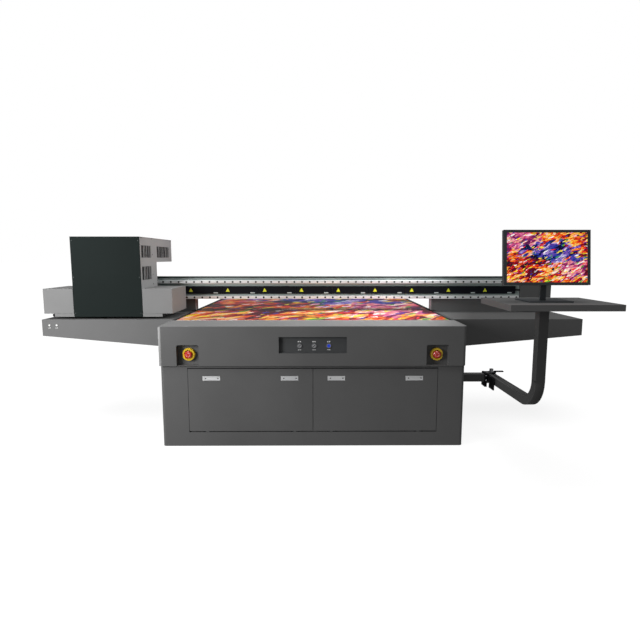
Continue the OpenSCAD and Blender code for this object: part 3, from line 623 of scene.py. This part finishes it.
SIGN = triangle(0.0175, 0.031, 0.003)
SIGN_FOOT = 0.018       # from the cover's lower edge up to the sticker
STICKER = 0.0005
signs, clips, cover_screws = bmesh.new(), bmesh.new(), bmesh.new()
for i in range(TRACK_PLATES):
    left = track_low.x + i * track_pitch
    sign_x = left + 0.169 * track_pitch
    plate(signs, (sign_x, track_low.y, track_low.z + SIGN_FOOT), RIGHT, UP, SIGN, STICKER)
    clip_x = left + 0.842 * track_pitch
    block(clips, (clip_x - 0.018, track_low.y - 0.002, track_low.z + 0.004),
          (clip_x + 0.018, track_low.y + 0.008, track_low.z + 0.014), 0.0008)
    for share in (0.12, 0.88):
        for z in (track_low.z + 0.006, track_high.z - 0.006):
            cap_screw(cover_screws, (left + share * track_pitch, track_low.y, z), FRONT, 0.003, 0.0006)
piece("warning_triangles", signs, warning_yellow, "gantry")
piece("magnet_clips", clips, clip_plastic, "gantry")
piece("magnet_cover_screws", cover_screws, dark_steel, "gantry")
print("magnet covers:", TRACK_PLATES)

# %% [markdown]
# ## Beam trim
# A thin encoder tape runs along the beam above the upper rail, and the carriage reads its position
# from it. A strip covers the beam's upper front edge, painted black for the shadow line under the
# beam's top cover, a stop closes each end of the magnet track, and a pale plate lines the inner face
# of each riser under the beam, partly a trim and partly a painted highlight on that face.

# %% Encoder tape, top strip with painted shadow, end stops and riser plates
beam_low, beam_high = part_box("beam")
trim = bmesh.new()
block(trim, (rail_low.x, beam_low.y - 0.0008, rail_high.z + 0.008),
      (rail_high.x, beam_low.y, rail_high.z + 0.011))
piece("encoder_tape", trim, bright_metal, "gantry")
# This strip over the beam's top front edge is black to paint the shadow line under the beam's top cover.
strip = bmesh.new()
block(strip, (beam_low.x + 0.02, beam_low.y - 0.0012, beam_high.z - 0.009),
      (beam_high.x - 0.02, beam_low.y + 0.012, beam_high.z + 0.0016), 0.0004)
piece("beam_top_strip_painted_shadow", strip, black_coat, "gantry")
stops = bmesh.new()
for side in (-1, 1):
    xs = sorted((side * (track_high.x + 0.002), side * (track_high.x + 0.040)))
    block(stops, (xs[0], beam_low.y - 0.010, track_mid - 0.007),
          (xs[1], beam_low.y, track_mid + 0.007), 0.002)
piece("track_end_stops", stops, rubber, "gantry")
# Pale plates on the risers' inner faces: partly a trim, partly a painted highlight on the lit inner face.
risers = bmesh.new()
RISER_INNER = 1.012     # from the middle to a riser's inner face
RISER_FOOT = 0.846
for side in (-1, 1):
    xs = sorted((side * RISER_INNER, side * (RISER_INNER - 0.0015)))
    block(risers, (xs[0], beam_low.y + 0.003, RISER_FOOT), (xs[1], beam_low.y + 0.089, beam_low.z), 0.0005)
piece("riser_inner_plates_and_highlight", risers, pale_trim_and_highlight_coat, "gantry")
print("beam is", round(beam_high.x - beam_low.x, 3), "m long")

# %% [markdown]
# ## Bed edges, apron and doorway
# A black strip lies along each side of the board and paints the shade of the groove there, with a dark
# strip beside it on the border, partly its own dark paint and partly painted shade. On the front, a pale
# strip on the apron's left corner is a painted highlight, a sill closes the foot of each emergency-stop
# pocket, and a thin black seal outlines the doorway.

# %% Painted groove shade and corner highlight, side strips, sills and doorway seal
border_low, border_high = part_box("bed_border")
bed_low, bed_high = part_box("vacuum_bed")
# Black strips along both sides of the board paint the shade of the groove there.
groove_shades = bmesh.new()
for side in (-1, 1):
    xs = sorted((side * (bed_high.x + 0.0015), side * (bed_high.x + 0.018)))
    block(groove_shades, (xs[0], bed_low.y + 0.002, border_high.z - 0.001),
          (xs[1], bed_high.y, border_high.z + 0.0025), 0.001)
piece("bed_groove_painted_shade", groove_shades, rubber, "base")
# Dark strips on the side borders: partly their own dark paint, partly painted shade of the sides.
strips = bmesh.new()
LEDGE_DEPTH = 0.313
for side in (-1, 1):
    xs = sorted((side * (bed_high.x + 0.0185), side * (border_high.x - 0.0015)))
    block(strips, (xs[0], border_low.y + LEDGE_DEPTH + 0.003, border_high.z - 0.001),
          (xs[1], border_high.y - 0.004, border_high.z + 0.0006), 0.0003)
piece("side_border_shade_strips", strips, side_border_shade_coat, "base")
apron_low, apron_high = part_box("front_apron")
# A painted highlight: a pale strip on the apron's left corner only, where the left light catches the turning
# corner.
corner = bmesh.new()
block(corner, (apron_low.x + 0.0005, apron_low.y - 0.0006, apron_low.z + 0.001),
      (apron_low.x + 0.016, apron_low.y + 0.002, apron_high.z - 0.001), 0.0005)
piece("apron_corner_painted_highlight", corner, pale_trim_and_highlight_coat, "base")
sills = bmesh.new()
POCKET_X = 0.842        # from the middle to an emergency stop's pocket
POCKET_HALF = 0.0745
for x in (-POCKET_X, POCKET_X):
    block(sills, (x - POCKET_HALF, apron_low.y + 0.001, apron_low.z + 0.0002),
          (x + POCKET_HALF, apron_low.y + 0.046, apron_low.z + 0.002))
piece("estop_pocket_sills", sills, cabinet_coat, "base")
door_low, door_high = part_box("left_door")[0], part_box("right_door")[1]
seal = bmesh.new()
block(seal, (door_low.x - 0.004, door_low.y - 0.0004, door_high.z + 0.0004),
      (door_high.x + 0.004, door_low.y + 0.001, door_high.z + 0.0075), 0.0002)
SEAL_HALF = 0.0011
for x in (door_low.x - 0.0015, door_high.x + 0.0015):
    block(seal, (x - SEAL_HALF, door_low.y - 0.0004, door_low.z),
          (x + SEAL_HALF, door_low.y + 0.001, door_high.z + 0.001))
piece("doorway_seal", seal, rubber, "base")
print("seals run", round(bed_high.y - bed_low.y, 3), "m")

# %% [markdown]
# ## Carriage screws
# The dark front cover is held by six small screws, two by two. The grey side covers have a screw
# beside each group of slots, and the lid has screws along its edge. They are pan heads, lighter than
# the lacquer because the paint wears off in the driver's slot.

# %% Screws on the carriage covers
cover_low, cover_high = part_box("carriage_front_cover")
side_low, side_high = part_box("carriage_side_covers")
front_screws = bmesh.new()
for x in (cover_low.x + 0.012, cover_high.x - 0.012):
    for z in (cover_high.z - 0.030, cover_high.z - 0.304, cover_low.z + 0.028):
        cap_screw(front_screws, (x, cover_low.y, z), FRONT, 0.0032, 0.0010)
piece("front_cover_screws", front_screws, worn_steel, "carriage")
cover_front = cover_low.y
side_screws = bmesh.new()
for x, way in ((side_high.x, RIGHT), (side_low.x, (-1, 0, 0))):
    for depth, z in ((0.294, 1.316), (0.734, 1.365), (0.293, 1.157), (0.050, 1.441), (0.283, 1.441),
                     (0.796, 1.441), (0.293, 1.080)):
        cap_screw(side_screws, (x, cover_front + depth, z), way, 0.0045, 0.0015)
piece("side_cover_screws", side_screws, dark_steel, "carriage")
print("carriage cover is", round(cover_high.z - cover_low.z, 3), "m tall")

# %% [markdown]
# ## Louvres and panel screws
# Behind the carriage's slots a black panel keeps ink mist off the fans, and black bars of uneven width
# over part of the slots paint the shade inside them, so the vents look dark and irregular. The cabinet's
# vents get a lip over each slot. Every lip is a slim block, and loops repeat it over both sides and the
# back.

# %% Vent panels, painted shade bars, louvre lips and panel screws
vents = bmesh.new()
VENT_INSET = 0.0035     # from the cover's face in to the panel
VENT_EDGE = 0.004
# each vent: its start and end behind the front cover, and its lower and upper edge
VENTS = ((0.046, 0.274, 1.291, 1.387), (0.410, 0.755, 1.291, 1.385), (0.048, 0.270, 1.120, 1.226))
for way in (-1, 1):
    face_x = side_high.x if way > 0 else side_low.x
    xs = sorted((face_x - way * VENT_INSET, face_x - way * (VENT_INSET + 0.0015)))
    for start, stop, z0, z1 in VENTS:
        block(vents, (xs[0], cover_front + start - VENT_EDGE, z0 - VENT_EDGE),
              (xs[1], cover_front + stop + VENT_EDGE, z1 + VENT_EDGE))
piece("carriage_vent_panels", vents, rubber, "carriage")
# Black bars over part of the slots paint the shade inside the vents.
vent_shade_bars = bmesh.new()
BAR_STEPS = (0.010, 0.017, 0.008, 0.022, 0.012, 0.015)
for way in (-1, 1):
    face_x = side_high.x if way > 0 else side_low.x
    xs = sorted((face_x - way * 0.001, face_x + way * 0.0006))
    for start, stop, z0, z1 in VENTS:
        at, turn = start + VENT_EDGE, 0
        while at < stop - 0.03:
            width = BAR_STEPS[turn % 6]
            block(vent_shade_bars, (xs[0], cover_front + at, z0 + 0.002),
                  (xs[1], cover_front + at + width, z1 - 0.002), 0.0003)
            at += width + BAR_STEPS[(turn + 2) % 6] * 1.1
            turn += 1
piece("carriage_vent_painted_shade", vent_shade_bars, black_coat, "carriage")
lips = bmesh.new()
cabinet_low, cabinet_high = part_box("cabinet_panels")
LIP = (0.006, 0.0035)   # how far a lip stands out, and its height
LOUVRES = 8
LOUVRE_PITCH = 0.022
LOUVRE_LENGTH = 0.260
for i in range(LOUVRES):
    z = 0.308 + i * LOUVRE_PITCH
    for way in (-1, 1):
        face_x = cabinet_high.x if way > 0 else cabinet_low.x
        xs = sorted((face_x, face_x + way * LIP[0]))
        for y in (-1.150, 0.850):
            block(lips, (xs[0], y, z), (xs[1], y + LOUVRE_LENGTH, z + LIP[1]), 0.001)
for i in range(LOUVRES):
    z = 0.338 + i * LOUVRE_PITCH
    for x in (-0.560, 0.420):
        block(lips, (x, cabinet_high.y, z), (x + LOUVRE_LENGTH, cabinet_high.y + LIP[0], z + LIP[1]), 0.001)
piece("louvre_lips", lips, cabinet_coat, "base")
panel_screws = bmesh.new()
SCREW = (0.006, 0.003)  # radius and height of a panel screw's head
for z in (0.060, 0.310, 0.540):
    for y in (-1.70, -0.75, 0.25, 1.25, 1.75):
        for way in (-1, 1):
            face_x = cabinet_high.x if way > 0 else cabinet_low.x
            cap_screw(panel_screws, (face_x, y, z), (way, 0, 0), *SCREW)
    for x in (-1.00, -0.70, 0.20, 0.35, 0.75, 1.00):
        cap_screw(panel_screws, (x, cabinet_high.y, z), BACK, *SCREW)
piece("cabinet_panel_screws", panel_screws, dark_steel, "base")
print("louvre lips:", LOUVRES * 6)

# %% [markdown]
# ## Bumpers under the lamp boxes
# Two black rubber bumpers close the ends of the head base plate. They are turned forms, so a profile
# gives the rounded nose.

# %% Rubber bumpers
base_low, base_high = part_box("head_base_plate")
bumpers = bmesh.new()
BUMPER = [(0, 0.014), (0.012, 0.014), (0.019, 0.011), (0.022, 0.006)]
for x, way in ((base_low.x, (-1, 0, 0)), (base_high.x, RIGHT)):
    for y in (base_low.y + 0.020, base_high.y - 0.040):
        turned(bumpers, (x, y, base_low.z + 0.011), way, BUMPER)
piece("carriage_bumpers", bumpers, rubber, "carriage")
print("bumpers stand", BUMPER[-1][0], "m out")

# %% [markdown]
# ## Controls
# The metal push buttons have a dished face, and a dark diagonal bar across each face paints the
# reflection in it. Each has a small printed mark above and below it. The marks are plain bars and dots,
# because they only need to read as a legend. Each emergency stop has a pale ring with arrow gaps on its
# red cap, which shows the way to turn it free.

# %% Legends, painted reflections on the buttons and stop rings
LEGEND = 0.0003         # thickness of a printed mark
LEGEND_RISE = 0.028     # from a button's middle to its marks
marks = bmesh.new()
for i in range(1, 4):
    low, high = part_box(f"button_{i}")
    centre_x, centre_z = (low.x + high.x) / 2, (low.z + high.z) / 2
    panel_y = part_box("button_bezels")[1].y
    for dx, width in ((-0.0075, 0.010), (0.0055, 0.009)):
        place_above = (centre_x + dx, panel_y, centre_z + LEGEND_RISE)
        plate(marks, place_above, RIGHT, UP, rounded(width, 0.008, 0.002), LEGEND)
    for dx, width in ((-0.010, 0.004), (-0.003, 0.006), (0.006, 0.008)):
        place_below = (centre_x + dx, panel_y, centre_z - LEGEND_RISE)
        plate(marks, place_below, RIGHT, UP, rounded(width, 0.005, 0.0015), LEGEND)
piece("panel_legends", marks, label_white, "base")
for i in (1, 2):
    low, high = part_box(f"button_{i}")
    centre = ((low.x + high.x) / 2, low.y, (low.z + high.z) / 2)
    # A dark diagonal bar across the button paints the reflection in its dished metal face.
    reflection_bar = bmesh.new()
    turn = 0.8
    across = Vector((math.cos(turn), 0, math.sin(turn)))
    along = Vector((-math.sin(turn), 0, math.cos(turn)))
    plate(reflection_bar, centre, across, along, rounded(0.019, 0.004, 0.0018), 0.0006)
    piece(f"button_painted_reflection_{i}", reflection_bar, dark_steel, f"button_{i}")


def ring_arc(form, centre, inner, outer, start, stop, thickness, up=UP, steps=14):
    """A flat ring segment; it faces the front unless another up direction is given."""
    turns = [start + (stop - start) * i / steps for i in range(steps + 1)]
    outline = [(outer * math.cos(a), outer * math.sin(a)) for a in turns]
    outline += [(inner * math.cos(a), inner * math.sin(a)) for a in reversed(turns)]
    plate(form, centre, RIGHT, up, outline, thickness)


for side in ("left", "right"):
    low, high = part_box(f"{side}_estop")
    centre = ((low.x + high.x) / 2, low.y, (low.z + high.z) / 2)
    ring = bmesh.new()
    for k in range(3):
        start = 2 * math.pi * k / 3 + 0.5
        ring_arc(ring, centre, 0.0105, 0.0145, start, start + 1.55, 0.0005)
    piece(f"{side}_estop_ring", ring, ring_pink, f"{side}_estop")
wing_marks = bmesh.new()
for i in (1, 2):
    low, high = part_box(f"wing_button_{i}")
    wing_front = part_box("left_wing")[0].y
    for dx, width in ((-0.006, 0.008), (0.004, 0.007)):
        plate(wing_marks, ((low.x + high.x) / 2 + dx, wing_front, low.z - 0.012), RIGHT, UP,
              rounded(width, 0.005, 0.001), LEGEND)
piece("wing_legends", wing_marks, label_white, "gantry")
print("legends in place")

# %% [markdown]
# ## Latches
# The flush latches are bright plates. Each shows a small dark screw near its left end and, near its
# right end, a dark disc in a finger dimple that paints the dimple's shade.

# %% Latch screws and painted dimple shade
for i in range(1, 5):
    low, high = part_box(f"latch_{i}")
    middle = (low.z + high.z) / 2
    screws = bmesh.new()
    cap_screw(screws, (low.x + 0.020, low.y, middle), FRONT, 0.004, 0.0004)
    # A dark disc sunk in the finger dimple paints the dimple's shade.
    cap_screw(screws, (high.x - 0.014, low.y + 0.0015, middle), FRONT, 0.004, 0.0004)
    piece(f"latch_screw_and_dimple_shade_{i}", screws, dark_steel, f"latch_{i}")
print("latch plate is", round(high.x - low.x, 3), "m wide")

# %% [markdown]
# ## Monitor and arm
# The monitor has a thin frame with a tiny lamp in its lower right corner. The clamp that holds the arm
# gets black jaws around the fork, a cheek plate on the arm, a grip on the lever and two screws. A jaw
# is an open ring, so that the clamp's pin passes through it.

# %% Monitor lamp, clamp jaws, lever grip and screws
shell_low, shell_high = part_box("monitor_shell")
lamp = bmesh.new()
LAMP = [(0, 0.0015), (0.0004, 0.001)]
turned(lamp, (shell_high.x - 0.012, shell_low.y, shell_low.z + 0.004), FRONT, LAMP, 12)
piece("monitor_lamp", lamp, label_white, "monitor")
bracket_low, bracket_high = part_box("arm_bracket")
lever_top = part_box("clamp_lever")[1].z
bracket_y = (bracket_low.y + bracket_high.y) / 2
pivot_x = bracket_high.x - 0.032
jaws = bmesh.new()
JAW_HALF = 0.0375
JAW_TOP = 0.4536
block(jaws, (pivot_x - 0.059, bracket_y - JAW_HALF, bracket_low.z - 0.001),
      (pivot_x - 0.041, bracket_y + JAW_HALF, JAW_TOP), 0.003)
for z, thickness in ((0.3764, 0.0095), (0.4447, 0.0090)):
    ring_arc(jaws, (pivot_x, bracket_y, z), 0.0095, 0.0335, -2.6, 2.6, thickness, up=BACK)
piece("clamp_jaws", jaws, black_coat, "base")
cheek = bmesh.new()
block(cheek, (pivot_x - 0.0385, bracket_y - 0.150, 0.352),
      (pivot_x - 0.0275, bracket_y - 0.060, 0.440), 0.004)
piece("arm_cheek", cheek, black_coat, "arm")
grip = bmesh.new()
GRIP_HALF = 0.0115
block(grip, (pivot_x + 0.021, bracket_y - GRIP_HALF, lever_top - 0.0235),
      (pivot_x + 0.088, bracket_y + GRIP_HALF, lever_top - 0.0155), 0.003)
piece("lever_grip", grip, black_coat, "clamp_lever")
clamp_screws = bmesh.new()
for z in (0.432, 0.398):
    cap_screw(clamp_screws, (pivot_x - 0.050, bracket_y - JAW_HALF, z), FRONT, *SCREW)
piece("clamp_screws", clamp_screws, zinc, "base")
print("bracket reaches x =", round(bracket_high.x, 3))

# %% [markdown]
# ## Floor, light and camera
# The machine stands on a plain pale floor in a studio. A soft light from overhead lights the tops, a
# softbox near the left front makes the left side brighter than the right, and a weaker one over the
# bed lights the carriage's right side. The surroundings stay dim so that dark lacquer looks dark. The
# floor glows faintly, which keeps it pale under the machine. It is hidden from bounced light, so it
# doesn't throw that glow back up.

# %% Floor
def studio_floor(reach, height):
    form = bmesh.new()
    bmesh.ops.create_circle(form, cap_ends=True, segments=64, radius=reach)
    floor = bpy.data.objects.new("floor", bpy.data.meshes.new("floor"))
    form.to_mesh(floor.data)
    form.free()
    floor.location.z = height
    bpy.context.scene.collection.objects.link(floor)
    finish, shader = start_finish("pale floor", (0.22, 0.22, 0.22), 0.9, specular=0.0)
    shader.inputs["Emission Color"].default_value = (1, 1, 1, 1)
    shader.inputs["Emission Strength"].default_value = 0.86
    floor.data.materials.append(finish)
    floor.visible_diffuse = False
    floor.visible_glossy = False
    floor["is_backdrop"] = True


studio_floor(120, cad_low.z)
print("floor at z =", round(cad_low.z, 3))

# %% Lights
def soft_light(name, where, target, size, power):
    lamp = bpy.data.lights.new(name, "AREA")
    lamp.shape = "DISK"
    lamp.size = size
    lamp.energy = power
    holder = bpy.data.objects.new(name, lamp)
    holder.location = where
    holder.rotation_euler = (Vector(target) - Vector(where)).to_track_quat("-Z", "Y").to_euler()
    holder.visible_camera = False
    bpy.context.scene.collection.objects.link(holder)


def overhead_light(direction, strength, softness):
    lamp = bpy.data.lights.new("overhead", "SUN")
    lamp.energy = strength
    lamp.angle = softness
    holder = bpy.data.objects.new("overhead", lamp)
    holder.rotation_euler = Vector(direction).to_track_quat("-Z", "Y").to_euler()
    bpy.context.scene.collection.objects.link(holder)


overhead_light((0.12, 0.10, -1.0), 2.0, math.radians(50))
soft_light("left softbox", (-2.8, -3.6, 1.5), (-1.0, -1.4, 0.8), 1.6, 84)
soft_light("right softbox", (0.9, -1.2, 1.9), (-1.0, -0.6, 1.25), 1.2, 30)

world = bpy.data.worlds.new("studio")
world.use_nodes = True
bpy.context.scene.world = world
tree = world.node_tree
dim = tree.nodes["Background"]
dim.inputs["Color"].default_value = (1, 1, 1, 1)
dim.inputs["Strength"].default_value = 0.16
bright = tree.nodes.new("ShaderNodeBackground")
bright.inputs["Color"].default_value = (1, 1, 1, 1)
path = tree.nodes.new("ShaderNodeLightPath")
either = tree.nodes.new("ShaderNodeMixShader")
tree.links.new(path.outputs["Is Camera Ray"], either.inputs["Fac"])
tree.links.new(dim.outputs["Background"], either.inputs[1])
tree.links.new(bright.outputs["Background"], either.inputs[2])
tree.links.new(either.outputs["Shader"], tree.nodes["World Output"].inputs["Surface"])
bpy.context.scene.view_settings.view_transform = "Standard"

# %% [markdown]
# The camera stands five metres in front of the machine's middle, at eye height for someone looking
# slightly down on the bed. A short lens takes in the whole width.

# %% Camera
CAMERA_PLACE = (0.026, -5.086, 1.294)
LOOK_DOWN = math.radians(7.29)
LOOK_RIGHT = math.radians(0.39)
camera_data = bpy.data.cameras.new("camera")
camera_data.sensor_width = 36.0
camera_data.lens = 27.53
camera = bpy.data.objects.new("camera", camera_data)
camera.location = CAMERA_PLACE
camera.rotation_euler = (math.pi / 2 - LOOK_DOWN, 0, -LOOK_RIGHT)
bpy.context.scene.collection.objects.link(camera)
bpy.context.scene.camera = camera
print("camera at", CAMERA_PLACE)

# %% [markdown]
# ## Measure and finish
# The dressed machine must stay the size of the imported one, so both boxes are written down.

# %% Print the sizes
low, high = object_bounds()
print("visual box in metres:", [round(v, 3) for v in low], [round(v, 3) for v in high])
